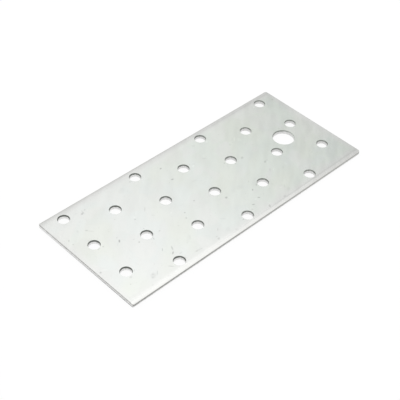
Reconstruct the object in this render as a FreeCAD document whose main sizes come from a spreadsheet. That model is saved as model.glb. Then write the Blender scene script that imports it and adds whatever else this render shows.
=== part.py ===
"""Flat mending plate: galvanised sheet steel with a staggered field of nail holes and one larger hole.

The plate lies flat. The origin is at the middle of its underside, X runs along its length and Z points up.
A cut rounds over the face where the tool goes in, then shears a smooth straight land, and ends in a break-out
that slants away. The outer edges are cut from the top face and the holes are punched from the underside, so
the edges are rounded at the top and the holes are widest there.
"""
import FreeCAD, Part
import math
import os

import Sketcher
from FreeCAD import Vector

SIZES = {
    # sheet, in millimetres like every size here
    "plate_length": 139.0,
    "plate_width": 60.0,
    "sheet_thickness": 2.0,
    "corner_radius": 0.8,
    # long edges, slit from the coil, which draws their upper edge down over a wide strip
    "slit_roll_width": 1.6,
    "slit_roll_depth": 0.5,
    "slit_breakout_height": 0.5,
    # ends, cropped off in the press with a tight edge
    "crop_roll_width": 0.4,
    "crop_roll_depth": 0.12,
    "crop_breakout_height": 0.7,
    # how far the break-out of an outer edge slants in
    "edge_breakout_setback": 0.08,
    # holes, punched into a die that is a little wider than the punch
    "nail_hole_radius": 2.5,
    "large_hole_radius": 5.0,
    "hole_roll_width": 0.25,
    "hole_roll_depth": 0.1,
    "hole_breakout_height": 0.7,
    "hole_breakout_setback": 0.23,
    # nail holes: rows across the plate, each shifted to the other side of the centre line than the last
    "row_pitch": 20.0,
    "hole_pitch": 20.0,
    "row_shift": 5.0,
    "least_end_margin": 9.0,
    "least_side_margin": 4.8,
    # how far the cutting outlines reach past the sheet
    "tool_overrun": 1.0,
}

ROW_COUNT = "(floor((Sizes.plate_length - 2 * Sizes.least_end_margin) / Sizes.row_pitch) + 1)"
HOLES_IN_ROW = (
    "(floor((Sizes.plate_width - 2 * Sizes.least_side_margin - 2 * Sizes.row_shift) / Sizes.hole_pitch) + 1)"
)
FIRST_ROW_X = f"(-(({ROW_COUNT} - 1) / 2) * Sizes.row_pitch)"
ROW_REACH_Y = f"((({HOLES_IN_ROW} - 1) / 2) * Sizes.hole_pitch)"
# In a sketch, -1 is its own horizontal axis and -2 the vertical one, and its origin is point 1 of -1.
ORIGIN = (-1, 1)
START, END, CENTRE = 1, 2, 3
VOLUME_TOLERANCE = 1e-5


def size_sheet(doc):
    """Put the sizes in a spreadsheet, one named cell each."""
    sheet = doc.addObject("Spreadsheet::Sheet", "Sizes")
    for row, (name, value) in enumerate(SIZES.items(), start=1):
        sheet.set(f"A{row}", name)
        sheet.set(f"B{row}", str(value))
        sheet.setAlias(f"B{row}", name)
    doc.recompute()
    return sheet


def origin_feature(body, role):
    """Return the body's own plane or axis of that role."""
    return next(item for item in body.Origin.OriginFeatures if item.Role == role)


def new_sketch(body, name, plane):
    """Start a sketch on one of the body's own origin planes."""
    sketch = body.newObject("Sketcher::SketchObject", name)
    sketch.AttachmentSupport = [(origin_feature(body, plane), "")]
    sketch.MapMode = "FlatFace"
    return sketch


def arc_between(centre, start, finish):
    """Return the short arc about the centre, and whether it runs from finish to start."""
    circle = Part.Circle(centre, Vector(0, 0, 1), (start - centre).Length)
    turned = (start - centre).cross(finish - centre).z < 0
    first, last = (finish, start) if turned else (start, finish)
    return Part.ArcOfCircle(circle, circle.parameter(first), circle.parameter(last)), turned


def draw_outline(sketch, corners, arc_centres=None):
    """Draw a closed outline through the corners and return each edge as (number, its start, its end)."""
    arc_centres = arc_centres or {}
    edges = []
    for number, start in enumerate(corners):
        finish = corners[(number + 1) % len(corners)]
        turned = False
        edge = Part.LineSegment(start, finish)
        if number in arc_centres:
            edge, turned = arc_between(arc_centres[number], start, finish)
        geometry = sketch.addGeometry(edge, False)
        edges.append((geometry, END, START) if turned else (geometry, START, END))
    for edge, following in zip(edges, edges[1:] + edges[:1]):
        sketch.addConstraint(Sketcher.Constraint("Coincident", edge[0], edge[2], following[0], following[1]))
    return edges


def corner(edges, number):
    """Return the sketch point at the start of that edge."""
    return edges[number][0], edges[number][1]


def level(sketch, edges, numbers):
    """Hold the edges of those numbers horizontal."""
    for number in numbers:
        sketch.addConstraint(Sketcher.Constraint("Horizontal", edges[number][0]))


def upright(sketch, edges, numbers):
    """Hold the edges of those numbers vertical."""
    for number in numbers:
        sketch.addConstraint(Sketcher.Constraint("Vertical", edges[number][0]))


def measure(sketch, name, axis, first, second, expression):
    """Dimension the sketch from the first point to the second along X or Y, bound to the sheet."""
    constraint = Sketcher.Constraint("Distance" + axis, *first, *second, 1.0)
    number = sketch.addConstraint(constraint)
    sketch.renameConstraint(number, name)
    sketch.setExpression(f"Constraints.{name}", expression)


def blank_outline(body, size):
    """Draw the plain rectangle of the plate, centred on the origin."""
    sketch = new_sketch(body, "BlankOutline", "XY_Plane")
    x, y = size["plate_length"] / 2, size["plate_width"] / 2
    edges = draw_outline(sketch, [Vector(-x, -y, 0), Vector(x, -y, 0), Vector(x, y, 0), Vector(-x, y, 0)])
    level(sketch, edges, (0, 2))
    upright(sketch, edges, (1, 3))
    measure(sketch, "whole_length", "X", corner(edges, 0), corner(edges, 1), "Sizes.plate_length")
    measure(sketch, "whole_width", "Y", corner(edges, 1), corner(edges, 2), "Sizes.plate_width")
    sketch.addConstraint(Sketcher.Constraint("Symmetric", *corner(edges, 0), *corner(edges, 2), *ORIGIN))
    return sketch


def blank(body, size):
    """Make the flat blank, with its four corners a little blunt."""
    pad = body.newObject("PartDesign::Pad", "Blank")
    pad.Profile = blank_outline(body, size)
    pad.setExpression("Length", "Sizes.sheet_thickness")
    body.Document.recompute()
    standing = [
        f"Edge{number}"
        for number, edge in enumerate(pad.Shape.Edges, start=1)
        if round(abs(edge.tangentAt(edge.FirstParameter).z)) == 1
    ]
    corners = body.newObject("PartDesign::Fillet", "BluntCorners")
    corners.Base = (pad, standing)
    corners.setExpression("Radius", "Sizes.corner_radius")
    body.Document.recompute()
    return corners


def roll_radius(width, depth):
    """Work out the radius of the arc that leaves the top face smoothly and drops that far over that width."""
    return (width ** 2 + depth ** 2) / (2 * depth)


def draw_roll(sketch, side, names, size):
    """Draw what the rounded upper edge takes away on one side: an arc that leaves the top face smoothly."""
    half, width, depth = size[names["span"]] / 2, size[names["width"]], size[names["depth"]]
    top, past = size["sheet_thickness"], size["tool_overrun"]
    points = [
        Vector(side * (half - width), top, 0),
        Vector(side * half, top - depth, 0),
        Vector(side * (half + past), top - depth, 0),
        Vector(side * (half + past), top + past, 0),
        Vector(side * (half - width), top + past, 0),
    ]
    edges = draw_outline(sketch, points, {0: points[0] - Vector(0, roll_radius(width, depth), 0)})
    level(sketch, edges, (1, 3))
    upright(sketch, edges, (2, 4))
    sketch.addConstraint(Sketcher.Constraint("Vertical", edges[0][0], CENTRE, *corner(edges, 0)))
    tag = "right" if side > 0 else "left"
    across(sketch, f"{tag}_edge", side, ORIGIN, corner(edges, 1), f"Sizes.{names['span']} / 2")
    across(sketch, f"{tag}_roll_width", side, corner(edges, 0), corner(edges, 1), f"Sizes.{names['width']}")
    across(sketch, f"{tag}_overrun", side, corner(edges, 1), corner(edges, 2), "Sizes.tool_overrun")
    measure(sketch, f"{tag}_roll_depth", "Y", corner(edges, 1), corner(edges, 0), f"Sizes.{names['depth']}")
    measure(sketch, f"{tag}_top", "Y", ORIGIN, corner(edges, 0), "Sizes.sheet_thickness")
    measure(sketch, f"{tag}_rise", "Y", corner(edges, 0), corner(edges, 4), "Sizes.tool_overrun")


def draw_breakout(sketch, side, names, size):
    """Draw what the break-out takes away on one side: a slant from the land down to the underside."""
    half, height, setback = size[names["span"]] / 2, size[names["breakout"]], size["edge_breakout_setback"]
    past = size["tool_overrun"]
    points = [
        Vector(side * half, height, 0),
        Vector(side * (half - setback), 0, 0),
        Vector(side * (half - setback), -past, 0),
        Vector(side * (half + past), -past, 0),
        Vector(side * (half + past), height, 0),
    ]
    edges = draw_outline(sketch, points)
    upright(sketch, edges, (1, 3))
    level(sketch, edges, (2, 4))
    tag = "right" if side > 0 else "left"
    across(sketch, f"{tag}_land", side, ORIGIN, corner(edges, 0), f"Sizes.{names['span']} / 2")
    across(sketch, f"{tag}_setback", side, corner(edges, 1), corner(edges, 0), "Sizes.edge_breakout_setback")
    across(sketch, f"{tag}_reach", side, corner(edges, 0), corner(edges, 4), "Sizes.tool_overrun")
    measure(sketch, f"{tag}_height", "Y", ORIGIN, corner(edges, 0), f"Sizes.{names['breakout']}")
    measure(sketch, f"{tag}_drop", "Y", corner(edges, 2), corner(edges, 1), "Sizes.tool_overrun")
    sketch.addConstraint(Sketcher.Constraint("PointOnObject", *corner(edges, 1), -1))


def across(sketch, name, side, inner, outer, expression):
    """Dimension a distance that runs outwards on either side of the centre line."""
    first, second = (inner, outer) if side > 0 else (outer, inner)
    measure(sketch, name, "X", first, second, expression)


def sheared_edges(body, name, plane, names, size):
    """Trim one pair of opposite edges to the section that shearing leaves."""
    sketch = new_sketch(body, name + "Section", plane)
    for side in (1, -1):
        draw_roll(sketch, side, names, size)
        draw_breakout(sketch, side, names, size)
    pocket = body.newObject("PartDesign::Pocket", name)
    pocket.Profile = sketch
    pocket.Type = "ThroughAll"
    pocket.SideType = "Symmetric"
    body.Document.recompute()
    return pocket


def punch_section(body, name, radius, place_x, place_y, size):
    """Draw half the section of a hole against its own axis: roll below, land, and break-out above."""
    sketch = new_sketch(body, name + "Section", "XZ_Plane")
    sketch.setExpression("AttachmentOffset.Base.x", place_x)
    sketch.setExpression("AttachmentOffset.Base.z", f"-({place_y})")
    wall, width, depth = size[radius], size["hole_roll_width"], size["hole_roll_depth"]
    top, past = size["sheet_thickness"], size["tool_overrun"]
    height, setback = size["hole_breakout_height"], size["hole_breakout_setback"]
    points = [
        Vector(0, -past, 0),
        Vector(wall + width, -past, 0),
        Vector(wall + width, 0, 0),
        Vector(wall, depth, 0),
        Vector(wall, top - height, 0),
        Vector(wall + setback, top, 0),
        Vector(wall + setback, top + past, 0),
        Vector(0, top + past, 0),
    ]
    edges = draw_outline(sketch, points, {2: points[2] + Vector(0, roll_radius(width, depth), 0)})
    level(sketch, edges, (0, 6))
    upright(sketch, edges, (1, 3, 5, 7))
    sketch.addConstraint(Sketcher.Constraint("Vertical", edges[2][0], CENTRE, *corner(edges, 2)))
    sketch.addConstraint(Sketcher.Constraint("PointOnObject", *corner(edges, 0), -2))
    sketch.addConstraint(Sketcher.Constraint("PointOnObject", *corner(edges, 2), -1))
    measure(sketch, "wall_radius", "X", ORIGIN, corner(edges, 3), f"Sizes.{radius}")
    measure(sketch, "roll_width", "X", corner(edges, 3), corner(edges, 2), "Sizes.hole_roll_width")
    measure(sketch, "roll_depth", "Y", corner(edges, 2), corner(edges, 3), "Sizes.hole_roll_depth")
    measure(sketch, "setback", "X", corner(edges, 4), corner(edges, 5), "Sizes.hole_breakout_setback")
    measure(sketch, "height", "Y", corner(edges, 4), corner(edges, 5), "Sizes.hole_breakout_height")
    measure(sketch, "sheet_top", "Y", ORIGIN, corner(edges, 5), "Sizes.sheet_thickness")
    measure(sketch, "drop", "Y", corner(edges, 1), corner(edges, 2), "Sizes.tool_overrun")
    measure(sketch, "rise", "Y", corner(edges, 5), corner(edges, 6), "Sizes.tool_overrun")
    return sketch


def punched_hole(body, name, radius, place_x, place_y, size):
    """Turn the hole's section about its axis and take it out of the sheet."""
    sketch = punch_section(body, name, radius, place_x, place_y, size)
    groove = body.newObject("PartDesign::Groove", name)
    groove.Profile = sketch
    groove.ReferenceAxis = (sketch, ["V_Axis"])
    groove.Angle = 360
    body.Document.recompute()
    return groove


def hole_field(body, name, hole, rows):
    """Repeat a nail hole in every second row along the plate, and across it in each of them."""
    field = body.newObject("PartDesign::LinearPattern", name)
    field.Originals = [hole]
    field.Direction = (origin_feature(body, "X_Axis"), [""])
    field.Mode = "Spacing"
    field.setExpression("Offset", "2 * Sizes.row_pitch")
    field.setExpression("Occurrences", rows)
    field.Direction2 = (origin_feature(body, "Y_Axis"), [""])
    field.Mode2 = "Extent"
    field.setExpression("Length2", f"2 * {ROW_REACH_Y}")
    field.setExpression("Occurrences2", HOLES_IN_ROW)
    body.Tip = field
    body.Document.recompute()
    return field


def nail_rows(body, name, before, row_x, shift, rows, size):
    """Punch every second row of nail holes, each row shifted that far across the plate."""
    hole = punched_hole(body, name + "RowHole", "nail_hole_radius", row_x, f"{shift} - {ROW_REACH_Y}", size)
    check_hole(before, hole, "nail_hole_radius", size)
    field = hole_field(body, name + "Rows", hole, rows)
    check_field(before, hole, field)
    return field


def metal_taken(before, after):
    """Return how much metal lies between two steps, in cubic millimetres."""
    return before.Shape.Volume - after.Shape.Volume


def check_trim(name, before, after):
    """Stop if trimming an edge took nothing away."""
    taken = metal_taken(before, after)
    print(f"{name}: takes {taken:.3f} mm3")
    if taken <= 0:
        raise RuntimeError(f"{name} took nothing away")


def check_hole(before, hole, radius, size):
    """Stop if a hole isn't right through: it takes more than its straight bore, less than its widest one."""
    taken = metal_taken(before, hole)
    widest = size[radius] + max(size["hole_roll_width"], size["hole_breakout_setback"])
    least, most = (math.pi * r ** 2 * size["sheet_thickness"] for r in (size[radius], widest))
    print(f"{hole.Name}: takes {taken:.3f} mm3, between {least:.3f} and {most:.3f}")
    if not least < taken < most:
        raise RuntimeError(f"{hole.Name} took away {taken:.3f} mm3")


def check_field(before, hole, field):
    """Stop if the pattern didn't cut each of its holes whole."""
    count = field.Occurrences * field.Occurrences2
    taken, expected = metal_taken(before, field), count * metal_taken(before, hole)
    print(f"{field.Name}: {count} holes take {taken:.3f} mm3")
    if abs(taken - expected) > VOLUME_TOLERANCE * expected:
        raise RuntimeError(f"{field.Name} took away {taken:.3f} mm3, not {expected:.3f} mm3")


def mending_plate(doc):
    """Build the plate in the order of its making: blank, sheared edges, nail holes, large hole."""
    size = SIZES
    body = doc.addObject("PartDesign::Body", "MendingPlate")
    body.Label = "mending_plate"
    flat = blank(body, size)
    slit = {
        "span": "plate_width",
        "width": "slit_roll_width",
        "depth": "slit_roll_depth",
        "breakout": "slit_breakout_height",
    }
    long_edges = sheared_edges(body, "LongEdges", "YZ_Plane", slit, size)
    check_trim("long edges", flat, long_edges)
    crop = {
        "span": "plate_length",
        "width": "crop_roll_width",
        "depth": "crop_roll_depth",
        "breakout": "crop_breakout_height",
    }
    ends = sheared_edges(body, "Ends", "XZ_Plane", crop, size)
    check_trim("ends", long_edges, ends)

    odd_rows = nail_rows(body, "Odd", ends, FIRST_ROW_X, "Sizes.row_shift", f"ceil({ROW_COUNT} / 2)", size)
    next_row_x = f"{FIRST_ROW_X} + Sizes.row_pitch"
    even_count = f"floor({ROW_COUNT} / 2)"
    even_rows = nail_rows(body, "Even", odd_rows, next_row_x, "-Sizes.row_shift", even_count, size)

    between_last_rows = f"-({FIRST_ROW_X}) - Sizes.row_pitch / 2"
    large = punched_hole(body, "LargeHole", "large_hole_radius", between_last_rows, "0", size)
    check_hole(even_rows, large, "large_hole_radius", size)
    body.Tip = large
    doc.recompute()
    return body


def check_document(doc, parts):
    """Stop if any object failed or any part has no sound solid."""
    for item in doc.Objects:
        if "Invalid" in item.State or "Error" in item.State:
            raise RuntimeError(f"{item.Name} failed: {item.State}")
        if item.TypeId == "Sketcher::SketchObject" and not item.FullyConstrained:
            raise RuntimeError(f"{item.Name} isn't fully constrained")
    for item in parts:
        if item.Shape.isNull() or not item.Shape.isValid():
            raise RuntimeError(f"{item.Label} has no valid shape")


def write_parts(parts):
    """Write each part's solid to a file named after it."""
    os.makedirs("parts", exist_ok=True)
    for item in parts:
        box = item.Shape.BoundBox
        print(f"{item.Label}: {box.XLength:.3f} x {box.YLength:.3f} x {box.ZLength:.3f} mm, "
              f"{item.Shape.Volume:.1f} mm3, {len(item.Shape.Faces)} faces, {len(item.Shape.Solids)} solid")
        item.Shape.exportStep(f"parts/{item.Label}.step")


document = FreeCAD.newDocument("MendingPlate")
size_sheet(document)
plate = mending_plate(document)
check_document(document, [plate])
write_parts([plate])
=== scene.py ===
# %% [markdown]
# # A galvanised mending plate
# The object is one piece of 2 mm sheet steel with a zinc coat. It was slit to width, cropped to length
# and punched with a field of nail holes and one larger bolt hole. Nothing on it moves. This notebook
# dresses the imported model: it makes the plate again with finer edges, gives the zinc and the cut steel
# their own finishes, and sets the view.

# %% The frame, and the modules that every cell uses
import math

import bmesh
import bpy
from mathutils import Matrix, Vector


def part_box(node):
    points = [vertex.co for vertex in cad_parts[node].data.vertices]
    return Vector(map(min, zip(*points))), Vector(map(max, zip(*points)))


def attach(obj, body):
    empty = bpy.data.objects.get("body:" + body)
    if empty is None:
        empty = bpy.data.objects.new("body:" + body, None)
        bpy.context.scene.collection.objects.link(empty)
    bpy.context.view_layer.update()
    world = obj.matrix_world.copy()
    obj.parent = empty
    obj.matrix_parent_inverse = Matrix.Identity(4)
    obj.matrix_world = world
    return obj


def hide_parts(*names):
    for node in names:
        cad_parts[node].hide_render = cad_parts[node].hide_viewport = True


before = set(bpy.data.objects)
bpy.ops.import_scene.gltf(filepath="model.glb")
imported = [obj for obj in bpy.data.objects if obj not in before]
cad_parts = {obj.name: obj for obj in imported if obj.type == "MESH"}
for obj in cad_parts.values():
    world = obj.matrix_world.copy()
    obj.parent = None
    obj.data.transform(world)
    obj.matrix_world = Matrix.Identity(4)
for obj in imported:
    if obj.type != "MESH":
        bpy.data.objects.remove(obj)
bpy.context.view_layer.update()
low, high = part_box("mending_plate")
LENGTH, WIDTH, THICKNESS = high - low
MM = 0.001
print(f"plate {LENGTH / MM:.1f} x {WIDTH / MM:.1f} x {THICKNESS / MM:.1f} mm")

# %% [markdown]
# ## Sizes
# The outer sizes come from the frame, so the finer plate can't drift from the one that was packed. What a
# box can't tell is named here in metres: the grid of the holes, their radii, and the three parts of a
# sheared edge. A blade first draws the surface over in a soft roll, then shears a straight smooth land,
# and then the rest of the sheet breaks away at a slight slant. Every cut has its own roll and its own
# break-out, given as width and depth. The slit roll is wider and a little shallower than in the packed
# model, because the sheen along the long edges of the photograph fades out over some three millimetres.
# Facets and steps say how finely a curve is drawn.

# %% Sizes
ROWS = 7
HOLES_IN_ROW = 3
ROW_PITCH = 20 * MM
HOLE_PITCH = 20 * MM
ROW_SHIFT = 5 * MM
NAIL_RADIUS = 2.5 * MM
BOLT_RADIUS = 5 * MM
CORNER_RADIUS = 0.8 * MM
NAIL_FACETS = 64
BOLT_FACETS = 96
CORNER_FACETS = 8
OVERRUN = 1 * MM
SLIT = {"roll": (3.0 * MM, 0.42 * MM), "power": 3.2, "breakout": (0.08 * MM, 0.5 * MM), "steps": 16}
CROP = {"roll": (0.4 * MM, 0.12 * MM), "power": 2, "breakout": (0.08 * MM, 0.7 * MM), "steps": 6}
PUNCH = {"roll": (0.25 * MM, 0.1 * MM), "power": 2, "breakout": (0.23 * MM, 0.7 * MM), "steps": 6}
print(ROWS * HOLES_IN_ROW, f"nail holes on a grid of {ROW_PITCH / MM:.0f} by {HOLE_PITCH / MM:.0f} mm")

# %% [markdown]
# ## The section of a sheared edge
# One function gives the points of that section. It measures inwards from the widest line, which is the
# land. The roll leaves the top face smoothly and gets steeper towards the land, so its depth is a power
# of the way across. A power of two is close to an arc, and more keeps the curve nearer to the edge. A few
# straight steps are enough, because smooth shading hides them.

# %% The section of a sheared edge
def sheared_section(cut):
    """Points (inwards, height) of an edge that is cut from the top, from the underside upwards."""
    width, depth = cut["roll"]
    setback, torn = cut["breakout"]
    points = [(setback, 0), (0, torn), (0, THICKNESS - depth)]
    for step in range(1, cut["steps"] + 1):
        share = step / cut["steps"]
        points.append((width * share, THICKNESS - depth * (1 - share) ** cut["power"]))
    return points


print("slit edge, mm:", [(round(a / MM, 2), round(b / MM, 2)) for a, b in sheared_section(SLIT)[:5]], "...")

# %% [markdown]
# ## The blank and the tools
# A press cuts a blank with tools, and booleans can do the same. Each tool here is a small closed solid
# made with bmesh. A prism is a flat outline pushed along one axis, and a punch is a profile turned about
# its own axis. A bevel on a plain box would also round the edges, but it can't give a land and a
# break-out with true heights.

# %% Solid makers
def new_solid(name, bm):
    """Turn the bmesh into an object whose faces point outwards."""
    bmesh.ops.recalc_face_normals(bm, faces=bm.faces)
    mesh = bpy.data.meshes.new(name)
    bm.to_mesh(mesh)
    bm.free()
    solid = bpy.data.objects.new(name, mesh)
    bpy.context.scene.collection.objects.link(solid)
    return solid


def prism(name, outline, along, start, finish):
    """Push a closed outline of 3-D points along a unit vector."""
    bm = bmesh.new()
    near = [bm.verts.new(Vector(point) + along * start) for point in outline]
    far = [bm.verts.new(Vector(point) + along * finish) for point in outline]
    bm.faces.new(near)
    bm.faces.new(far[::-1])
    for i in range(len(outline)):
        bm.faces.new((near[i], near[i - 1], far[i - 1], far[i]))
    return new_solid(name, bm)


def turned(name, profile, facets):
    """Turn a profile of (radius, height) points about Z."""
    bm = bmesh.new()
    turns = [math.tau * i / facets for i in range(facets)]
    rings = [[bm.verts.new((r * math.cos(a), r * math.sin(a), z)) for a in turns] for r, z in profile]
    bm.faces.new(rings[0][::-1])
    bm.faces.new(rings[-1])
    for ring, above in zip(rings, rings[1:]):
        for i in range(facets):
            bm.faces.new((ring[i - 1], ring[i], above[i], above[i - 1]))
    return new_solid(name, bm)


# %% The slit strip
def slit_strip():
    """The strip as it leaves the slitter: a sheared section on both long sides, and a little too long."""
    edge = sheared_section(SLIT)
    right = [(0, WIDTH / 2 - inwards, height) for inwards, height in edge]
    left = [(0, -y, z) for _, y, z in right[::-1]]
    reach = LENGTH / 2 + OVERRUN
    return prism("slit_strip", right + left, Vector((1, 0, 0)), -reach, reach)


strip = slit_strip()
print("strip section has", len(strip.data.vertices) // 2, "points")


# %% The corner die and the cropping tools
def corner_die():
    """All that the plate may fill in plan: it blunts the corners, and stands past the sides elsewhere."""
    side = WIDTH / 2 + OVERRUN
    end = LENGTH / 2 + OVERRUN
    centre_x, centre_y = LENGTH / 2 - CORNER_RADIUS, WIDTH / 2 - CORNER_RADIUS
    quarter = [(end, centre_y, 0)]
    for i in range(CORNER_FACETS + 1):
        angle = math.pi / 2 * i / CORNER_FACETS
        x, y = centre_x + CORNER_RADIUS * math.cos(angle), centre_y + CORNER_RADIUS * math.sin(angle)
        quarter.append((x, y, 0))
    quarter.append((centre_x, side, 0))
    upper = quarter + [(-x, y, z) for x, y, z in quarter[::-1]]
    outline = upper + [(-x, -y, z) for x, y, z in upper]
    return prism("corner_die", outline, Vector((0, 0, 1)), -OVERRUN, THICKNESS + OVERRUN)


def cropping_tool(name, side):
    """What the cropping blade takes away past one end of the plate."""
    above, below = THICKNESS + OVERRUN, -OVERRUN
    past = side * (LENGTH / 2 + 2 * OVERRUN)
    edge = [(side * (LENGTH / 2 - inwards), 0, height) for inwards, height in sheared_section(CROP)]
    outline = [(edge[0][0], 0, below)] + edge + [(edge[-1][0], 0, above), (past, 0, above), (past, 0, below)]
    return prism(name, outline, Vector((0, 1, 0)), -WIDTH / 2 - OVERRUN, WIDTH / 2 + OVERRUN)


die = corner_die()
crop_left = cropping_tool("crop_left", -1)
crop_right = cropping_tool("crop_right", 1)
print("corner die has", len(die.data.vertices) // 2, "points in plan")

# %% [markdown]
# ## Which way the holes were punched
# In the photograph the dark band of each hole starts right at its rim, and a lighter band lies below it.
# So the torn part is on top and the land under it: the punch came from the underside. The section is the
# same as that of an outer edge, only turned over.

# %% The punches
def punch(name, radius, facets):
    """A punch with the shape of the hole it leaves: roll at the underside, land, and break-out above."""
    wall = [(radius + inwards, THICKNESS - height) for inwards, height in sheared_section(PUNCH)[::-1]]
    return turned(name, [(wall[0][0], -OVERRUN)] + wall + [(wall[-1][0], THICKNESS + OVERRUN)], facets)


nail_punch = punch("nail_punch", NAIL_RADIUS, NAIL_FACETS)
bolt_punch = punch("bolt_punch", BOLT_RADIUS, BOLT_FACETS)
print("punches have", len(nail_punch.data.polygons), "and", len(bolt_punch.data.polygons), "faces")

# %% [markdown]
# ## Building node trees
# The finishes are node trees, and so is the punching. In the editor each node is placed and wired by hand,
# and in a script that would take a few lines for each one. So one helper adds any node and wires its
# inputs, and the others are short names for the kinds that come up again and again.

# %% Helpers for node trees
def put(tree, kind, inputs=None, **settings):
    """Add a node. An input given as a socket is linked, and any other value is set."""
    made = tree.nodes.new(kind)
    for name, value in settings.items():
        setattr(made, name, value)
    for key, value in (inputs or {}).items():
        if isinstance(value, bpy.types.NodeSocket):
            tree.links.new(value, made.inputs[key])
        else:
            made.inputs[key].default_value = value
    return made


def calc(tree, operation, *values):
    """The result of a Math node."""
    return put(tree, "ShaderNodeMath", dict(enumerate(values)), operation=operation).outputs[0]


def vector_calc(tree, operation, first, second):
    """The result of a Vector Math node that takes two vectors."""
    return put(tree, "ShaderNodeVectorMath", {0: first, 1: second}, operation=operation).outputs[0]


def scaled(tree, vector, factor):
    """A vector times a number."""
    return put(tree, "ShaderNodeVectorMath", {0: vector, "Scale": factor}, operation="SCALE").outputs[0]


def split_axes(tree, vector):
    """The X, Y and Z of a vector."""
    return put(tree, "ShaderNodeSeparateXYZ", {0: vector}).outputs


def turned_flat(tree, vector, angle):
    """A vector turned about the vertical."""
    return put(tree, "ShaderNodeVectorRotate", {"Vector": vector, "Angle": angle},
               rotation_type="Z_AXIS").outputs[0]


# %% [markdown]
# ## The finishes
# The zinc coat, the slit sides, the cropped ends and the hole walls look different, because the first is
# a cast skin and the rest are bare or smeared steel. All four are procedural and read Object coordinates,
# so they stay in place when the plate is turned. Object coordinates are in metres, and one helper turns
# them into millimetres.

# %% Helpers for patterns
NOISE_RANGE = (0.3, 0.7)


def noise(tree, place, scale, detail=2.0, roughness=0.5):
    """The value of a Noise texture, about 0.5 on average."""
    made = put(tree, "ShaderNodeTexNoise", {
        "Vector": place, "Scale": scale, "Detail": detail, "Roughness": roughness,
    })
    return made.outputs["Fac"]


def ramp(tree, value, low, high, to_low=0.0, to_high=1.0):
    """Map a value smoothly from one range to another."""
    made = put(tree, "ShaderNodeMapRange", {
        "Value": value, "From Min": low, "From Max": high, "To Min": to_low, "To Max": to_high,
    }, interpolation_type="SMOOTHSTEP")
    return made.outputs["Result"]


def spread(tree, pattern, least, most):
    """Map a noise, or any pattern whose values lie mostly around 0.5, onto a range of its own."""
    return ramp(tree, pattern, *NOISE_RANGE, least, most)


# %% Helpers for materials
# A Mix node has a set of sockets for each kind of value, all under the same names, so they go by number.
MIX_FACTOR = 0
FIRST_NUMBER, SECOND_NUMBER, MIXED_NUMBER = 2, 3, 0
FIRST_COLOUR, SECOND_COLOUR, MIXED_COLOUR = 6, 7, 2


def blend(tree, factor, first, second, kind="MIX"):
    """Mix two colours, given as sockets or as red, green and blue."""
    made = put(tree, "ShaderNodeMix", {MIX_FACTOR: factor}, data_type="RGBA", blend_type=kind)
    for socket, colour in ((FIRST_COLOUR, first), (SECOND_COLOUR, second)):
        if isinstance(colour, bpy.types.NodeSocket):
            tree.links.new(colour, made.inputs[socket])
        else:
            made.inputs[socket].default_value = (*colour, 1)
    return made.outputs[MIXED_COLOUR]


def between(tree, factor, first, second):
    """Mix two numbers."""
    made = put(tree, "ShaderNodeMix", {MIX_FACTOR: factor, FIRST_NUMBER: first, SECOND_NUMBER: second})
    return made.outputs[MIXED_NUMBER]


def new_metal(name):
    """A metal with a Principled shader, its tree, and the place on the plate in millimetres."""
    material = bpy.data.materials.new(name)
    material.use_nodes = True
    tree = material.node_tree
    place = scaled(tree, put(tree, "ShaderNodeTexCoord").outputs["Object"], 1 / MM)
    shader = tree.nodes["Principled BSDF"]
    shader.inputs["Metallic"].default_value = 1.0
    return material, tree, place, shader


def colour_and_bump(tree, shader, tint, light, grain, strength, depth):
    """Colour the metal with a tint times an amount of light, and let a fine grain stand out on it."""
    grey = put(tree, "ShaderNodeCombineColor", {0: light, 1: light, 2: light}).outputs[0]
    tree.links.new(blend(tree, 1.0, tint, grey, "MULTIPLY"), shader.inputs["Base Color"])
    bump = put(tree, "ShaderNodeBump", {"Height": grain, "Strength": strength, "Distance": depth})
    tree.links.new(bump.outputs[0], shader.inputs["Normal"])


# %% [markdown]
# ## The zinc coat
# Hot zinc sets in crystals. On this sheet they are faint, a few millimetres across and smeared on a
# slant, with a blue-green, an olive or a mauve cast. Warped Voronoi cells give the crystals, and two
# slanted noises give the smears. Each layer is weak, since the coat is nearly plain grey from a step
# away. Along the outline its cast is mauve, and painted shade makes it a little darker at the far side
# and in the corners of the right end.

# %% Zinc colours
ZINC_GREY = (0.549, 0.560, 0.546)
ZINC_GREEN = (0.529, 0.562, 0.526)
ZINC_TEAL = (0.533, 0.562, 0.551)
ZINC_OLIVE = (0.542, 0.562, 0.515)
ZINC_MAUVE = (0.554, 0.558, 0.545)
ROLL_TINT = (0.560, 0.562, 0.545)

# %% Crystals and smears
SLANT = math.radians(42)
CRYSTAL = {"scale": 0.16, "stretch": 1.6, "smoothness": 0.5}
WARP = {"scale": 0.12, "detail": 2.0, "reach": 7.0}
SMEAR = {"stretch": 4.0, "scale": 0.35, "detail": 3.0}
DRIFT = {"stretch": 2.0, "scale": 0.06, "detail": 1.0}


def stretched(tree, place, stretch):
    """Turn a pattern to the slant, and stretch it in that direction."""
    return vector_calc(tree, "MULTIPLY", turned_flat(tree, place, -SLANT), (1 / stretch, 1, 1))


def crystals(tree, place):
    """Three random values for each crystal, from Voronoi cells that a noise has bent."""
    warp = put(tree, "ShaderNodeTexNoise", {
        "Vector": place, "Scale": WARP["scale"], "Detail": WARP["detail"],
    }).outputs["Color"]
    bent = vector_calc(tree, "ADD", place, scaled(tree, warp, WARP["reach"]))
    cells = put(tree, "ShaderNodeTexVoronoi", {
        "Vector": stretched(tree, bent, CRYSTAL["stretch"]), "Scale": CRYSTAL["scale"],
        "Smoothness": CRYSTAL["smoothness"],
    }, feature="SMOOTH_F1")
    return put(tree, "ShaderNodeSeparateColor", {0: cells.outputs["Color"]}).outputs


def smeared(tree, place, stretch, scale, detail):
    """A noise that is drawn out along the slant."""
    return noise(tree, stretched(tree, place, stretch), scale, detail)


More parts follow.
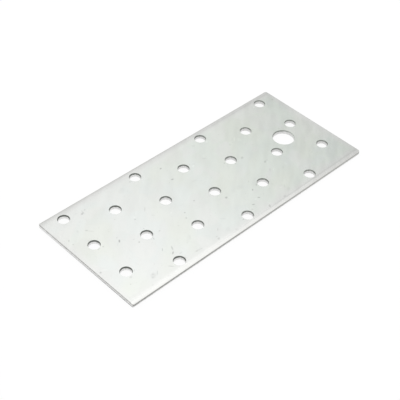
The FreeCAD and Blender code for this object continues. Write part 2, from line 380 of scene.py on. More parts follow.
# %% Where the coat changes towards its edges
# Each pair says where a change starts and where it is full, in millimetres from the middle of the plate.
HALF_LENGTH, HALF_WIDTH = LENGTH / 2 / MM, WIDTH / 2 / MM
OUTLINE = {"end": (HALF_LENGTH - 4, HALF_LENGTH), "side": (HALF_WIDTH - 6, HALF_WIDTH - 1), "share": 0.9}
# Painted shade along the far side and in the corners of the right end.
SHADED_CORNERS = {"along": (52, 69), "across": (8, 28), "loss": 0.07}
SHADED_FAR_SIDE = {"across": (26, 28.2), "loss": 0.06}


def near_outline(tree, place):
    """Nearly one along the outline of the plate, and zero a few millimetres inside it."""
    axes = split_axes(tree, place)
    end = ramp(tree, calc(tree, "ABSOLUTE", axes["X"]), *OUTLINE["end"], 0.0, OUTLINE["share"])
    side = ramp(tree, calc(tree, "ABSOLUTE", axes["Y"]), *OUTLINE["side"], 0.0, OUTLINE["share"])
    return calc(tree, "MAXIMUM", end, side)


def dull_edges(tree, place):
    """Painted shade: the light taken off along the far side and in the corners of the right end."""
    axes = split_axes(tree, place)
    off_centre = calc(tree, "ABSOLUTE", axes["Y"])
    across = ramp(tree, off_centre, *SHADED_CORNERS["across"], 0.0, SHADED_CORNERS["loss"])
    corners = calc(tree, "MULTIPLY", ramp(tree, axes["X"], *SHADED_CORNERS["along"]), across)
    far_side = ramp(tree, axes["Y"], *SHADED_FAR_SIDE["across"], 0.0, SHADED_FAR_SIDE["loss"])
    return calc(tree, "MAXIMUM", corners, far_side)


# %% Tint and light of the coat
# The first pair is two places along the plate, in millimetres, and the others are shares of light.
GREY_TO_GREEN = (-50, 40)
CRYSTAL_LIGHT = (0.972, 0.992)
SMEAR_LIGHT = (0.0, 0.046)


def zinc_tint(tree, place, crystal):
    """The colour of the coat: grey to green along the plate, then the casts of crystals and smears."""
    along = split_axes(tree, place)["X"]
    tint = blend(tree, ramp(tree, along, *GREY_TO_GREEN), ZINC_GREY, ZINC_GREEN)
    drift = smeared(tree, place, **DRIFT)
    for pattern, start, full, share, cast in (
        (crystal[0], 0.40, 0.70, 0.4, ZINC_TEAL),
        (drift, 0.48, 0.66, 0.5, ZINC_OLIVE),
        (crystal[1], 0.55, 0.78, 0.4, ZINC_MAUVE),
    ):
        tint = blend(tree, ramp(tree, pattern, start, full, 0.0, share), tint, cast)
    return blend(tree, near_outline(tree, place), tint, ZINC_MAUVE)


def zinc_light(tree, place, crystal, smear):
    """The light that the coat sends back: it differs a little between crystals and along the smears."""
    light = calc(tree, "ADD", spread(tree, crystal[2], *CRYSTAL_LIGHT), spread(tree, smear, *SMEAR_LIGHT))
    # Painted shade darkens the far side and the corners of the right end here.
    return calc(tree, "SUBTRACT", light, dull_edges(tree, place))


# %% [markdown]
# ## Marks on the zinc
# The plate has been handled, and it has small dots, dashes and scratches, some of them light. Each mark
# is a spherical gradient that a Mapping node squeezes into a thin ellipse at its place on the top face.
# It reaches only a millimetre down, which keeps it off the underside, and it fades over the outer part of
# its half sizes. The list was made from the photograph. It gives, in millimetres and degrees: x,
# y, length, width, direction, and how dark the mark is, where below zero means lighter.

# %% Marks
MARKS = (
    (-51.9, 22.5, 2.6, 1.4, 25, 0.24), (-49.8, 23.6, 1.4, 0.8, 20, 0.16), (-51.1, 23.7, 1.2, 0.7, 90, 0.14),
    (-49.0, 22.7, 1.2, 0.8, 45, -0.05), (-66.3, 13.6, 2.0, 0.9, 50, 0.16), (-66.3, 10.8, 1.2, 0.9, 30, 0.16),
    (-60.2, 15.5, 2.2, 1.4, 60, 0.06), (-57.1, 13.5, 1.7, 1.0, -50, 0.18), (-56.0, 12.0, 4.0, 0.7, -50, 0.10),
    (-57.9, 1.7, 1.0, 0.8, 0, 0.22), (-60.2, 1.7, 2.2, 0.6, 0, 0.14), (-60.2, 8.3, 1.0, 0.6, 0, 0.12),
    (-50.9, -0.3, 2.2, 0.9, 50, 0.40), (-50.4, 1.9, 1.5, 0.6, 30, 0.14), (-52.6, -1.3, 3.0, 0.5, 38, 0.07),
    (-37.6, 5.0, 1.0, 0.9, 0, 0.24), (-37.0, 6.1, 1.2, 0.9, 40, -0.05), (-45.2, -6.2, 1.2, 1.0, 30, 0.26),
    (-45.8, -3.5, 1.2, 0.9, 0, 0.10), (-39.4, -8.6, 2.2, 0.8, 75, 0.20), (-38.5, -1.5, 1.0, 0.7, -20, 0.18),
    (-68.0, -8.7, 1.3, 1.2, 0, 0.24), (-65.8, -8.7, 3.6, 0.8, -42, -0.05), (-41.0, -15.8, 2.4, 0.5, 50, 0.26),
    (-37.4, -17.8, 3.4, 0.9, 65, 0.22), (-39.0, -20.0, 2.4, 1.0, 35, 0.30), (-60.6, -18.6, 2.0, 1.4, 0, 0.12),
    (-57.1, -16.7, 1.0, 0.6, 45, 0.14), (-53.4, -24.0, 4.4, 3.0, 42, 0.09),
    (-54.2, -24.6, 1.6, 0.9, 42, 0.10), (-53.0, -23.3, 1.6, 0.8, -50, 0.10),
    (-51.2, -23.9, 3.4, 0.7, 45, 0.14), (-44.6, -25.0, 3.8, 0.8, -48, 0.16),
    (-36.7, -22.1, 2.0, 1.0, 0, 0.10), (-36.9, -25.2, 1.8, 0.8, 80, 0.14), (-56.9, -27.5, 1.6, 1.0, 45, 0.07),
    (-49.0, -28.1, 1.6, 0.9, 0, 0.07), (-7.7, 21.7, 1.5, 1.1, 20, 0.34), (-8.7, 13.0, 1.9, 1.1, -10, 0.30),
    (-10.0, 14.0, 1.2, 0.9, 0, -0.06), (-23.8, 24.2, 1.6, 1.0, 60, 0.12), (-30.2, 22.2, 5.5, 4.0, 20, 0.04),
    (-30.4, 6.9, 4.2, 0.5, 46, 0.16), (-30.2, 1.7, 2.2, 1.4, -40, 0.05), (-23.5, -2.2, 1.8, 0.9, 25, -0.07),
    (-11.0, -3.3, 1.2, 1.0, 0, 0.22), (-12.3, -4.6, 1.4, 0.9, 45, -0.06), (-19.1, -6.0, 1.2, 1.0, 20, 0.24),
    (-34.5, -6.9, 1.5, 1.0, 30, 0.14), (-20.9, -8.8, 1.7, 1.0, 45, 0.18), (-20.2, -8.6, 1.2, 0.5, 45, -0.05),
    (-26.5, -10.0, 1.4, 1.0, -40, 0.08), (-28.8, -18.3, 8.0, 1.6, 38, 0.04),
    (-27.7, -18.3, 3.6, 0.6, 46, 0.10), (-9.6, -19.5, 4.0, 0.8, -40, 0.07),
    (-30.2, -25.8, 4.4, 1.2, -6, 0.10), (-31.0, -25.9, 1.2, 0.8, 0, 0.10), (-28.6, -26.1, 1.2, 0.7, 0, 0.10),
    (-19.2, -26.7, 1.9, 1.3, 20, 0.18), (-19.0, -25.3, 1.6, 0.9, 0, 0.12), (-15.8, -22.7, 2.6, 0.5, 48, 0.18),
    (-12.3, -25.4, 3.6, 2.6, 45, 0.04), (-9.6, -27.9, 2.2, 1.6, 0, 0.07), (-3.3, -25.6, 1.1, 0.9, 0, 0.18),
    (-2.1, 5.8, 4.0, 1.4, -10, 0.04), (0.8, -11.2, 1.7, 1.4, 30, 0.30), (1.9, -11.9, 1.0, 0.8, 0, -0.07),
    (4.4, 13.3, 2.2, 1.4, 30, -0.07), (5.5, 14.1, 1.8, 0.6, -45, 0.10), (3.9, 15.3, 0.8, 0.7, 0, 0.18),
    (11.7, 13.7, 3.2, 1.1, -45, 0.07), (12.9, 15.3, 3.0, 1.6, 60, -0.04), (27.5, 12.9, 2.2, 1.6, 20, 0.06),
    (31.7, 14.2, 4.4, 0.9, 44, -0.08), (30.8, 14.9, 3.6, 0.5, 44, 0.06), (33.3, 12.6, 3.2, 2.2, 60, -0.04),
    (25.0, 2.7, 2.2, 1.7, 20, 0.17), (30.9, -6.1, 2.2, 1.2, 35, 0.20), (32.3, -5.9, 1.3, 0.7, -40, 0.16),
    (31.5, -7.1, 1.3, 0.7, 0, -0.05), (28.5, -11.4, 3.4, 0.5, 45, 0.12), (30.0, -12.2, 3.4, 0.6, 45, -0.07),
    (9.8, -10.4, 4.8, 3.2, 0, 0.04), (15.6, -10.4, 1.8, 0.7, 35, 0.10), (13.0, -15.4, 1.5, 0.9, 45, 0.32),
    (16.8, -14.1, 2.4, 0.9, 42, 0.20), (11.5, -20.6, 1.6, 1.0, -40, 0.30), (9.8, -20.4, 1.6, 1.2, 30, -0.07),
    (6.5, -22.1, 1.8, 1.0, -28, 0.28), (11.2, -27.4, 2.4, 1.3, 50, 0.22), (20.6, -27.6, 2.0, 1.4, 0, 0.14),
    (23.5, -22.6, 1.6, 1.2, 0, -0.06), (25.4, -23.0, 3.0, 0.9, 50, 0.08), (25.4, -25.4, 3.0, 2.0, 30, 0.05),
    (23.8, -14.0, 1.0, 0.8, 0, 0.12), (34.2, -14.2, 2.8, 0.7, 45, 0.06), (14.2, 23.3, 2.4, 1.8, -30, 0.07),
    (20.8, 21.5, 2.0, 1.5, 0, -0.07), (16.3, 5.4, 1.2, 0.9, 0, 0.20), (19.8, 1.7, 1.0, 0.6, 0, 0.16),
    (4.0, -23.9, 1.4, 1.0, -30, 0.14), (53.1, 6.0, 1.2, 0.9, 0, 0.10), (43.7, -5.0, 1.2, 0.8, 0, 0.12),
    (36.9, -13.2, 3.2, 1.2, 70, -0.05), (42.0, -17.2, 6.0, 2.6, 20, -0.03), (67.1, 23.1, 1.6, 1.2, 40, 0.14),
    (55.8, 24.8, 1.2, 0.8, 40, -0.10), (59.6, -19.3, 1.2, 0.7, 0, 0.08),
)


def spot(tree, place, centre, size, direction=0.0):
    """One at a centre, and zero outside an ellipsoid of the given half sizes."""
    local = put(tree, "ShaderNodeMapping", {"Vector": place}, vector_type="TEXTURE")
    local.inputs["Location"].default_value = centre
    local.inputs["Rotation"].default_value = (0, 0, math.radians(direction))
    local.inputs["Scale"].default_value = size
    return put(tree, "ShaderNodeTexGradient", {0: local.outputs[0]}, gradient_type="SPHERICAL").outputs["Fac"]


MARK_REACH_DOWN = 1
MARK_FADE = 0.6


def marks(tree, place):
    """The sum of all marks: above zero where the coat is darker, below where it is lighter."""
    total = None
    for x, y, length, width, direction, darkness in MARKS:
        half_sizes = (length / 2, width / 2, MARK_REACH_DOWN)
        shape = spot(tree, place, (x, y, THICKNESS / MM), half_sizes, direction)
        share = ramp(tree, shape, 0.0, MARK_FADE, 0.0, darkness)
        total = share if total is None else calc(tree, "ADD", total, share)
    return total


print(len(MARKS), "marks placed by hand")

# %% [markdown]
# ## Specks and hairline scratches
# Between the marks lie specks of dirt and hairlines, too many to place by hand. For the hairlines, a
# Voronoi texture gives every cell its own centre and random colour. The point is measured from that
# centre, turned by a random angle and squeezed, and so each cell holds one thin line. Some cells are left
# without one.

# %% Specks and hairlines
SPECKS = {"scale": 1.1, "detail": 1.0}
SPECK_PEAK = (0.73, 0.82)
HAIRLINES = {"cell": 5.0, "length": 4.5, "width": 0.22}
WITH_LINE = (0.45, 0.55)


def specks(tree, place):
    """Small dark dots, where a fine noise peaks."""
    return ramp(tree, noise(tree, place, **SPECKS), *SPECK_PEAK)


def hairlines(tree, place, cell, length, width):
    """One thin line of random direction in about half of the cells."""
    flat = vector_calc(tree, "MULTIPLY", place, (1, 1, 0))
    cells = put(tree, "ShaderNodeTexVoronoi", {"Vector": flat, "Scale": 1 / cell, "Randomness": 1.0})
    chance = put(tree, "ShaderNodeSeparateColor", {0: cells.outputs["Color"]})
    from_centre = vector_calc(tree, "SUBTRACT", flat, cells.outputs["Position"])
    turn = turned_flat(tree, from_centre, calc(tree, "MULTIPLY", chance.outputs[0], math.tau))
    thin = vector_calc(tree, "MULTIPLY", turn, (2 / length, 2 / width, 0))
    line = put(tree, "ShaderNodeTexGradient", {0: thin}, gradient_type="SPHERICAL").outputs["Fac"]
    return calc(tree, "MULTIPLY", line, ramp(tree, chance.outputs[1], *WITH_LINE))


# %% [markdown]
# ## The zinc material
# The layers are put together here. The colour is the tint times the light, less what the marks, specks
# and hairlines take away. The rolls were stretched by the blade, so they are a little smoother than the
# flat coat and have a tint of their own. A very fine bump breaks up the reflection.

# %% The zinc material
# Roll depths count down from the top face and roll heights up from the underside, in millimetres.
ROLL_DEPTHS = (0.3, 0.02)
ROLL_HEIGHTS = (0.2, 1.0)
ZINC_ROUGHNESS = (0.30, 0.36)
ROLL_POLISH = 0.03
SPECK = {"loss": 0.16, "roughness": 0.15}
HAIR = {"loss": 0.08, "groove": 0.5}
ZINC_GRAIN = {"scale": 1.4, "detail": 3.0, "roughness": 0.6}
ZINC_BUMP = {"strength": 0.10, "depth": 0.06 * MM}


def on_rolls(tree, place):
    """Up to one on the rolls of the upper edges, and zero on the top face and the underside."""
    height = split_axes(tree, place)["Z"]
    deep, shallow = (THICKNESS / MM - depth for depth in ROLL_DEPTHS)
    drawn = ramp(tree, height, deep, shallow, 1.0, 0.0)
    return calc(tree, "MULTIPLY", drawn, ramp(tree, height, *ROLL_HEIGHTS))


def zinc_coat():
    """The whole zinc finish: tint, light, marks, specks, hairlines, and roughness and bump to match."""
    material, tree, place, shader = new_metal("zinc_coat")
    crystal = crystals(tree, place)
    smear = smeared(tree, place, **SMEAR)
    rolled = on_rolls(tree, place)
    dots = specks(tree, place)
    hair = hairlines(tree, place, **HAIRLINES)
    tint = blend(tree, rolled, zinc_tint(tree, place, crystal), ROLL_TINT)
    loss = calc(tree, "ADD", marks(tree, place), calc(tree, "MULTIPLY", dots, SPECK["loss"]))
    loss = calc(tree, "ADD", loss, calc(tree, "MULTIPLY", hair, HAIR["loss"]))
    kept = calc(tree, "SUBTRACT", 1.0, loss)
    light = calc(tree, "MULTIPLY", zinc_light(tree, place, crystal, smear), kept)
    rough = spread(tree, smear, *ZINC_ROUGHNESS)
    rough = calc(tree, "ADD", rough, calc(tree, "MULTIPLY", dots, SPECK["roughness"]))
    rough = calc(tree, "SUBTRACT", rough, calc(tree, "MULTIPLY", rolled, ROLL_POLISH))
    tree.links.new(rough, shader.inputs["Roughness"])
    groove = calc(tree, "MULTIPLY", hair, HAIR["groove"])
    grain = calc(tree, "SUBTRACT", noise(tree, place, **ZINC_GRAIN), groove)
    colour_and_bump(tree, shader, tint, light, grain, **ZINC_BUMP)
    return material


# %% [markdown]
# ## Cut steel
# A cut face has two bands, the land that the blade rubbed smooth and the torn break-out. One function
# makes both for any cut, with fine lines from top to bottom and a boundary that wanders a little, as it
# does on a real shear. The slit sides, the cropped ends and the hole walls differ in their greys. The
# dark band of the holes is partly its own grey and partly painted shade of the hole, and painted light
# makes it lighter and thinner towards the right end. A cropped end changes from its near corner to its
# far one. So the greys and the border's height in millimetres are given twice, and drift from the first
# value to the second along one axis. Foot and top say how much light is left in the dark lines there:
# the line under the top is painted shade, and the foot line is partly a burr and partly painted contact
# shadow. The last grey is that of the dark band where it is paler: two holes near the right end have no
# dark band on the side that faces away from the field of holes.

# %% Drifts and pale spots on hole walls
PALE_SPOTS = ((54.0, -3.3, 7.5, 1.0), (62.0, 3.3, 2.4, 0.6))
PALE_SPOT_FADE = 0.8


def drifting(tree, place, axis, ends):
    """A value that drifts from one end of the plate to the other, along its length or across it."""
    half = {"X": HALF_LENGTH, "Y": HALF_WIDTH}[axis]
    return ramp(tree, split_axes(tree, place)[axis], -half, half, *ends)


def rubbed_sides(tree, place):
    """Above zero where the dark band of a hole wall is paler. Each spot gives x, y, reach and share."""
    shares = []
    for x, y, reach, share in PALE_SPOTS:
        shape = spot(tree, place, (x, y, THICKNESS / MM), (reach, reach, reach))
        shares.append(ramp(tree, shape, 0.0, PALE_SPOT_FADE, 0.0, share))
    return calc(tree, "MAXIMUM", *shares)


# %% Cut steel
# Foot heights count up from the underside and top depths down from the top face, in millimetres.
DRAWN_OUT = (1, 1, 0.12)
WANDER = {"scale": 0.8, "reach": 0.12}
BORDER_BLUR = 0.12
LINES = {"scale": 5.0, "light": (0.88, 1.06)}
GRAIN_LIGHT = (0.93, 1.05)
# The foot line is partly a burr and partly painted contact shadow, and the top line is painted shade.
FOOT_HEIGHTS = (0.3, 0.65)
TOP_DEPTHS = (0.6, 0.2)
LOWER_CAST = (1.0, 1.0, 0.99)
CUT_ROUGHNESS = 0.5
CUT_GRAIN = {"scale": 6.0, "detail": 3.0, "roughness": 0.6}
CUT_BUMP = {"strength": 0.25, "depth": 0.05 * MM}


def cut_steel(name, axis, lower, upper, border, cast, foot=(1.0, 1.0), top=1.0, pale_grey=None):
    """A sheared face in two bands of steel, with a darker line along its foot and under its top."""
    material, tree, place, shader = new_metal(name)
    drag = vector_calc(tree, "MULTIPLY", place, DRAWN_OUT)
    wander = spread(tree, noise(tree, drag, WANDER["scale"]), -WANDER["reach"], WANDER["reach"])
    level = calc(tree, "ADD", split_axes(tree, place)["Z"], wander)
    over = calc(tree, "SUBTRACT", level, drifting(tree, place, axis, border))
    is_upper = ramp(tree, over, -BORDER_BLUR, BORDER_BLUR)
    lower_grey, upper_grey = (drifting(tree, place, axis, greys) for greys in (lower, upper))
    if pale_grey is not None:
        upper_grey = between(tree, rubbed_sides(tree, place), upper_grey, pale_grey)
    grain = noise(tree, place, **CUT_GRAIN)
    below_top, at_top = (THICKNESS / MM - depth for depth in TOP_DEPTHS)
    light = spread(tree, noise(tree, drag, LINES["scale"]), *LINES["light"])
    for factor in (
        between(tree, is_upper, lower_grey, upper_grey),
        spread(tree, grain, *GRAIN_LIGHT),
        # Partly a burr and partly painted contact shadow along the foot, and painted shade under the top.
        ramp(tree, level, *FOOT_HEIGHTS, drifting(tree, place, axis, foot), 1.0),
        ramp(tree, level, below_top, at_top, 1.0, top),
    ):
        light = calc(tree, "MULTIPLY", light, factor)
    tint = blend(tree, is_upper, LOWER_CAST, cast)
    shader.inputs["Roughness"].default_value = CUT_ROUGHNESS
    colour_and_bump(tree, shader, tint, light, grain, **CUT_BUMP)
    return material


# %% The four finishes
finishes = {
    "Zinc": zinc_coat(),
    "Slit Steel": cut_steel(
        "slit_steel", "X", lower=(0.80, 0.80), upper=(0.38, 0.47), border=(0.60, 0.60),
        cast=(1.00, 1.00, 0.96),
    ),
    # Painted shade in the top line, and a foot line that is partly burr and partly painted contact shadow.
    "Cropped Steel": cut_steel(
        "cropped_steel", "Y", lower=(0.86, 0.96), upper=(0.74, 0.62), border=(0.80, 1.00),
        cast=(1.00, 1.00, 0.98), foot=(0.22, 0.70), top=0.42,
    ),
    # The dark band is partly its own grey and partly painted shade of the hole; its drift is painted light.
    "Punched Steel": cut_steel(
        "punched_steel", "X", lower=(0.84, 0.74), upper=(0.21, 0.38), border=(1.20, 1.40),
        cast=(0.95, 1.00, 0.94), pale_grey=0.70,
    ),
}
print("finishes:", ", ".join(material.name for material in finishes.values()))

# %% [markdown]
# ## Punching with Geometry Nodes
# The nail holes follow a rule: rows across the plate, each shifted to the other side of the centre line
# than the last. A node tree states that rule once. It makes a grid of points, shifts every second row,
# puts a punch on each point and the bolt punch between the last two rows, and takes them all out of the
# blank. At its end it picks the faces of each kind of cut by place and direction and gives them their
# finish. Its tools and sizes are named inputs, so the same tree would punch a longer or a wider plate.

# %% The punching tree: inputs
def named_inputs(tree, values):
    """Give the tree its named inputs, and return the socket identifier of each."""
    tree.interface.new_socket("Geometry", in_out="INPUT", socket_type="NodeSocketGeometry")
    tree.interface.new_socket("Geometry", in_out="OUTPUT", socket_type="NodeSocketGeometry")
    kinds = {"Object": "NodeSocketObject", "Material": "NodeSocketMaterial", "int": "NodeSocketInt",
             "float": "NodeSocketFloat"}
    found = {}
    for name, value in values.items():
        kind = kinds[type(value).__name__]
        found[name] = tree.interface.new_socket(name, in_out="INPUT", socket_type=kind).identifier
    return found


# %% The punching tree: where the punches go
def staggered_grid(tree, given, span_x):
    """Points of the nail holes: a grid whose rows are shifted in turn to either side."""
    span_y = calc(tree, "MULTIPLY", calc(tree, "SUBTRACT", given["Holes In Row"], 1), given["Hole Pitch"])
    grid = put(tree, "GeometryNodeMeshGrid", {
        "Size X": span_x, "Size Y": span_y, "Vertices X": given["Rows"], "Vertices Y": given["Holes In Row"],
    })
    x = split_axes(tree, put(tree, "GeometryNodeInputPosition").outputs[0])["X"]
    from_first = calc(tree, "ADD", x, calc(tree, "DIVIDE", span_x, 2))
    row = calc(tree, "ROUND", calc(tree, "DIVIDE", from_first, given["Row Pitch"]))
    side = calc(tree, "SUBTRACT", 1, calc(tree, "MULTIPLY", calc(tree, "MODULO", row, 2), 2))
    shift = put(tree, "ShaderNodeCombineXYZ", {"Y": calc(tree, "MULTIPLY", side, given["Row Shift"])})
    return put(tree, "GeometryNodeSetPosition", {
        "Geometry": grid.outputs["Mesh"], "Offset": shift.outputs[0],
    }).outputs[0]


def tool(tree, given, name):
    """The mesh of one of the tools that the tree is given."""
    return put(tree, "GeometryNodeObjectInfo", {"Object": given[name]}).outputs["Geometry"]


def punches(tree, given):
    """All punches in place: one realized mesh for the nail holes, and one for the bolt hole."""
    span_x = calc(tree, "MULTIPLY", calc(tree, "SUBTRACT", given["Rows"], 1), given["Row Pitch"])
    nails = put(tree, "GeometryNodeInstanceOnPoints", {
        "Points": staggered_grid(tree, given, span_x), "Instance": tool(tree, given, "Nail Punch"),
    })
    last_gap = calc(tree, "DIVIDE", calc(tree, "SUBTRACT", span_x, given["Row Pitch"]), 2)
    bolt_place = put(tree, "ShaderNodeCombineXYZ", {"X": last_gap}).outputs[0]
    bolt = put(tree, "GeometryNodeTransform", {
        "Geometry": tool(tree, given, "Bolt Punch"), "Translation": bolt_place,
    })
    return put(tree, "GeometryNodeRealizeInstances", {0: nails.outputs[0]}).outputs[0], bolt.outputs[0]


# %% The punching tree: finishes by place and direction
LEANING = 0.4


def beyond(tree, value, limit):
    """True where a value is over a limit, whatever its sign."""
    size = calc(tree, "ABSOLUTE", value)
    return put(tree, "FunctionNodeCompare", {"A": size, "B": limit}, data_type="FLOAT",
               operation="GREATER_THAN").outputs[0]


def near_edge(tree, place, size, radius):
    """True where a place along one axis is less than half a corner radius from the plate's edge."""
    return beyond(tree, place, calc(tree, "DIVIDE", calc(tree, "SUBTRACT", size, radius), 2))


def both(tree, first, second):
    """True where both are true."""
    return put(tree, "FunctionNodeBooleanMath", {0: first, 1: second}, operation="AND").outputs[0]


def finish_faces(tree, given, geometry):
    """Zinc everywhere, then each kind of cut steel on the faces that stand upright where it belongs."""
    at = split_axes(tree, put(tree, "GeometryNodeInputPosition").outputs[0])
    facing = split_axes(tree, put(tree, "GeometryNodeInputNormal").outputs[0])
    leaning = beyond(tree, facing["Z"], LEANING)
    upright = put(tree, "FunctionNodeBooleanMath", {0: leaning}, operation="NOT").outputs[0]
    at_side = near_edge(tree, at["Y"], given["Plate Width"], given["Corner Radius"])
    at_end = near_edge(tree, at["X"], given["Plate Length"], given["Corner Radius"])
    layers = (("Zinc", None), ("Punched Steel", upright), ("Cropped Steel", both(tree, upright, at_end)),
              ("Slit Steel", both(tree, upright, at_side)))
    for name, where in layers:
        inputs = {"Geometry": geometry, "Material": given[name]}
        if where is not None:
            inputs["Selection"] = where
        geometry = put(tree, "GeometryNodeSetMaterial", inputs).outputs[0]
    return geometry


# %% The punching tree: cutting
def punching_tree(values):
    """The whole tree: blunt the corners, crop the ends, punch the holes and hand out the finishes."""
    tree = bpy.data.node_groups.new("punched_plate", "GeometryNodeTree")
    sockets = named_inputs(tree, values)
    given = put(tree, "NodeGroupInput").outputs
    blank = put(tree, "GeometryNodeMeshBoolean", operation="INTERSECT", solver="EXACT")
    cut = put(tree, "GeometryNodeMeshBoolean", operation="DIFFERENCE", solver="EXACT")
    tree.links.new(blank.outputs[0], cut.inputs["Mesh 1"])
    for part in (given["Geometry"], tool(tree, given, "Corner Die")):
        tree.links.new(part, blank.inputs["Mesh 2"])
    ends = (tool(tree, given, name) for name in ("Crop Left", "Crop Right"))
    for part in (*ends, *punches(tree, given)):
        tree.links.new(part, cut.inputs["Mesh 2"])
    realized = put(tree, "GeometryNodeRealizeInstances", {0: cut.outputs[0]}).outputs[0]
    put(tree, "NodeGroupOutput", {0: finish_faces(tree, given, realized)})
    return tree, sockets


# %% Run the punching tree
def punched_plate(blank, values):
    """Run the tree over the blank and return the result as a plain object."""
    tree, sockets = punching_tree(values)
    modifier = blank.modifiers.new("punching", "NODES")
    modifier.node_group = tree
    for name, value in values.items():
        modifier[sockets[name]] = value
    graph = bpy.context.evaluated_depsgraph_get()
    mesh = bpy.data.meshes.new_from_object(blank.evaluated_get(graph))
    blank.modifiers.remove(modifier)
    made = bpy.data.objects.new("plate_body", mesh)
    bpy.context.scene.collection.objects.link(made)
    return made


plate = punched_plate(strip, {
    "Corner Die": die, "Crop Left": crop_left, "Crop Right": crop_right,
    "Nail Punch": nail_punch, "Bolt Punch": bolt_punch,
    "Plate Length": LENGTH, "Plate Width": WIDTH, "Corner Radius": CORNER_RADIUS,
    "Rows": ROWS, "Holes In Row": HOLES_IN_ROW,
    "Row Pitch": ROW_PITCH, "Hole Pitch": HOLE_PITCH, "Row Shift": ROW_SHIFT, **finishes,
})
for used in (strip, die, crop_left, crop_right, nail_punch, bolt_punch):
    bpy.data.objects.remove(used, do_unlink=True)
print("plate:", len(plate.data.vertices), "points,", len(plate.data.polygons), "faces")

# %% [markdown]
# ## Shading
# The two large faces must stay flat, because smooth shading would bend the light over them from hole to
# hole. The rolls and walls are smooth, with a crease wherever two of them meet at more than a slight
# angle.

# %% Smooth rolls and flat faces
CREASE = math.radians(15)
NEARLY_LEVEL = 0.99999


def shade(mesh):
    """Smooth shading between creases, and flat shading on the level faces."""
    mesh.shade_smooth()
    mesh.set_sharp_from_angle(angle=CREASE)
    for face in mesh.polygons:
        if abs(face.normal.z) > NEARLY_LEVEL:
            face.use_smooth = False


shade(plate.data)
print("flat faces:", sum(not face.use_smooth for face in plate.data.polygons))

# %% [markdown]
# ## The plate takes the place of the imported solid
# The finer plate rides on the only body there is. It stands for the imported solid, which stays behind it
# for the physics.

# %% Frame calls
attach(plate, "root")
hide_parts("mending_plate")
lowest = min(vertex.co.z for vertex in plate.data.vertices)
print("plate_body rests at", round(lowest / MM, 4), "mm")

# %% [markdown]
# ## Floor and backdrop
# The plate lies on plain white. A floor lit to pure white would burn the plate out, so the white comes
# from the Light Path node instead: camera, glossy and transmission rays see an even white, and a small
# share of real diffuse floor stays in the mix to hold the plate's faint shadow.

# %% Floor
FLOOR_SIZE = 6
WHITE = (1, 1, 1, 1)
PAPER = (0.9, 0.9, 0.9, 1)
GLOW_SHARE = 0.92


def white_rays(tree):
    """One for the rays that should see the white background, zero for the rays that light the object."""
    path = put(tree, "ShaderNodeLightPath").outputs
    seen = calc(tree, "MAXIMUM", path["Is Camera Ray"], path["Is Glossy Ray"])
    return calc(tree, "MAXIMUM", seen, path["Is Transmission Ray"])


def white_floor():
    """A large plane that looks white and keeps a faint shadow."""
    bpy.ops.mesh.primitive_plane_add(size=FLOOR_SIZE)
    floor = bpy.context.object
    floor.name = "floor"
    material = bpy.data.materials.new("white_floor")
    material.use_nodes = True
    tree = material.node_tree
    tree.nodes.clear()
    paper = put(tree, "ShaderNodeBsdfDiffuse", {"Color": PAPER})
    glow = put(tree, "ShaderNodeEmission", {"Color": WHITE, "Strength": 1.0})
    share = calc(tree, "MULTIPLY", white_rays(tree), GLOW_SHARE)
    mix = put(tree, "ShaderNodeMixShader", {0: share, 1: paper.outputs[0], 2: glow.outputs[0]})
    put(tree, "ShaderNodeOutputMaterial", {0: mix.outputs[0]})
    floor.data.materials.append(material)
    return floor


white_floor()
print("floor:", FLOOR_SIZE, "m wide, and", f"{GLOW_SHARE:.0%} even white")


# %% World
def white_world():
    """An even white surround, as in a light tent."""
    world = bpy.data.worlds.new("studio")
    bpy.context.scene.world = world
    world.use_nodes = True
    tree = world.node_tree
    tree.nodes.clear()
    white = put(tree, "ShaderNodeBackground", {"Color": WHITE, "Strength": 1.0})
    put(tree, "ShaderNodeOutputWorld", {0: white.outputs[0]})
    return world


print("world:", white_world().name)

# %% [markdown]
# ## Light
# Two softboxes face straight down. The flat face mirrors the large one close to its right-hand side, so
# less and less of it is seen from the left end of the plate to the right one. The roll on the near edge
# leans towards the camera and mirrors the small one, which hangs in front, and so it shows as a bright
# band. The boxes hang at different heights, because two area lamps that overlap in one plane take each
# other's light.

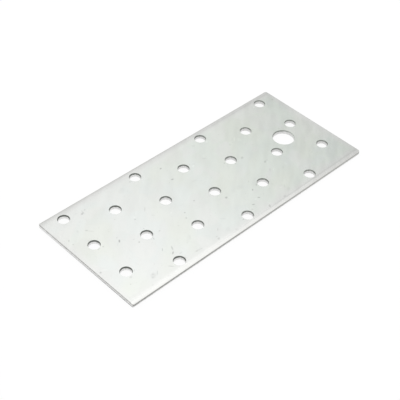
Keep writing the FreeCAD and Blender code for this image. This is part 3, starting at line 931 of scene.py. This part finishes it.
# %% Softboxes
def softbox(name, place, turn, size, watts):
    """A rectangular area lamp that faces straight down, turned by some degrees about the vertical."""
    data = bpy.data.lights.new(name, "AREA")
    data.shape = "RECTANGLE"
    data.size, data.size_y = size
    data.energy = watts
    lamp = bpy.data.objects.new(name, data)
    lamp.location = place
    lamp.rotation_euler = (0, 0, math.radians(turn))
    bpy.context.scene.collection.objects.link(lamp)
    return lamp


lamps = (
    softbox("overhead", place=(0.0, 1.24, 0.7), turn=-26, size=(1.8, 2.2), watts=4.35),
    softbox("front", place=(0.29, 0.075, 0.67), turn=11, size=(0.41, 0.79), watts=0.725),
)
print("softboxes:", ", ".join(f"{lamp.name} at {lamp.location.z:.2f} m" for lamp in lamps))

# %% [markdown]
# ## Camera
# The photograph was taken from the left front, rather high, with a long lens. The viewpoint is given the
# way a photographer would say it: a point on the plate to aim at, two angles, a distance, and a slight
# tilt of the frame.

# %% Camera
CAMERA_AIM = Vector((-8.795, -4.707, 2.0)) * MM
CAMERA_AZIMUTH = math.radians(-46.13)
CAMERA_ELEVATION = math.radians(43.23)
CAMERA_DISTANCE = 433.9 * MM
CAMERA_TILT = math.radians(3.04)
CAMERA_LENS = 90.21


def photographer_camera():
    """A camera at the photograph's place, aimed and tilted as it was."""
    data = bpy.data.cameras.new("camera")
    data.lens = CAMERA_LENS
    data.sensor_width = 36
    data.clip_start = 0.01
    camera = bpy.data.objects.new("camera", data)
    back = Vector((
        math.sin(CAMERA_AZIMUTH) * math.cos(CAMERA_ELEVATION),
        -math.cos(CAMERA_AZIMUTH) * math.cos(CAMERA_ELEVATION),
        math.sin(CAMERA_ELEVATION),
    ))
    camera.location = CAMERA_AIM + back * CAMERA_DISTANCE
    turn = (-back).to_track_quat("-Z", "Y").to_matrix() @ Matrix.Rotation(CAMERA_TILT, 3, "Z")
    camera.rotation_euler = turn.to_euler()
    bpy.context.scene.collection.objects.link(camera)
    bpy.context.scene.camera = camera
    return camera


camera = photographer_camera()
print("camera at", tuple(round(value / MM, 1) for value in camera.location), "mm")

# %% [markdown]
# ## The end
# Colours should come out as they are written, so the view transform is the plain one. The dressed plate
# may not outgrow the imported one.

# %% View transform
bpy.context.scene.view_settings.view_transform = "Standard"
